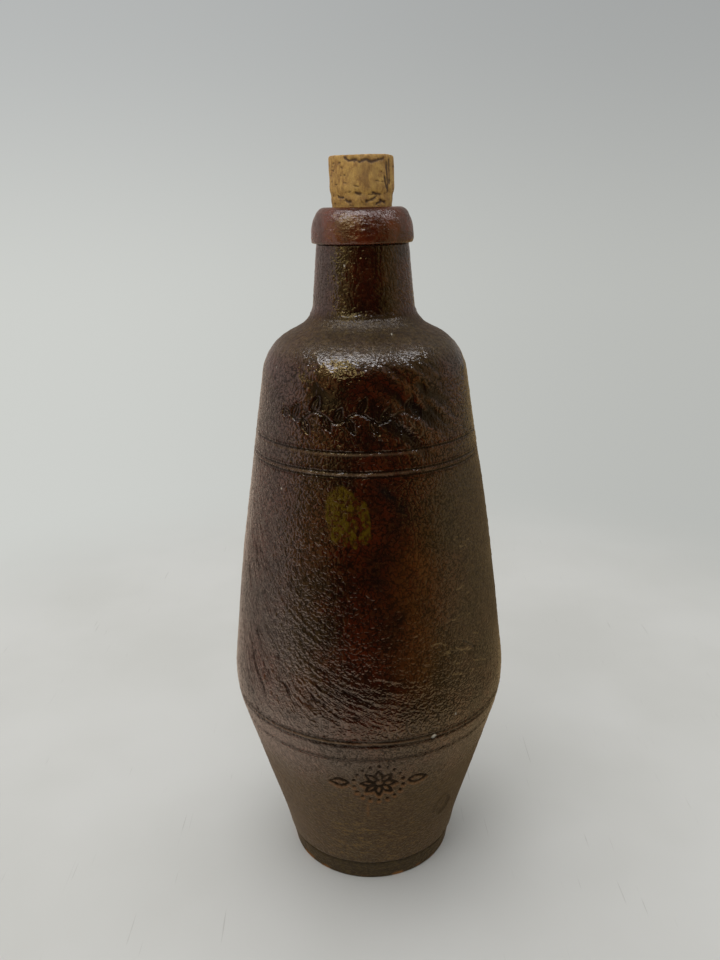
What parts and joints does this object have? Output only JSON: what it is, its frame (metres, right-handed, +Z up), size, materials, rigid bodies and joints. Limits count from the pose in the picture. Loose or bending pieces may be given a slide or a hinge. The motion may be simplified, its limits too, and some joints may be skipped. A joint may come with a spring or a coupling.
{
  "type": "stoneware bottle",
  "caption": "Corked brown salt-glazed stoneware bottle for sake or spirits: small foot, conical base, long tapering wall, round shoulder, short neck and collar lip.",
  "frame": {"origin": "centre of the foot's resting face", "axes": "+Z up along the turning axis, towards the mouth; -Y faces the side with the main ornament"},
  "size_m": [0.1082, 0.1082, 0.2772],
  "materials": {
    "brown_salt_glaze": "glossy salt glaze with orange-peel skin and fine wrinkles",
    "red_lip_glaze": "smoother, redder gloss salt glaze",
    "natural_cork": "matt natural cork with dark pores and cracks"
  },
  "bodies": {
    "bottle": {"stoneware_body": "brown_salt_glaze", "lip_collar": "red_lip_glaze"},
    "cork": {"cork_stopper": "natural_cork"}
  },
  "joints": [
    {"name": "cork_pull", "type": "slide", "parent": "bottle", "child": "cork", "axis": [0, 0, 1], "range_m": [0, 0.035]}
  ]
}
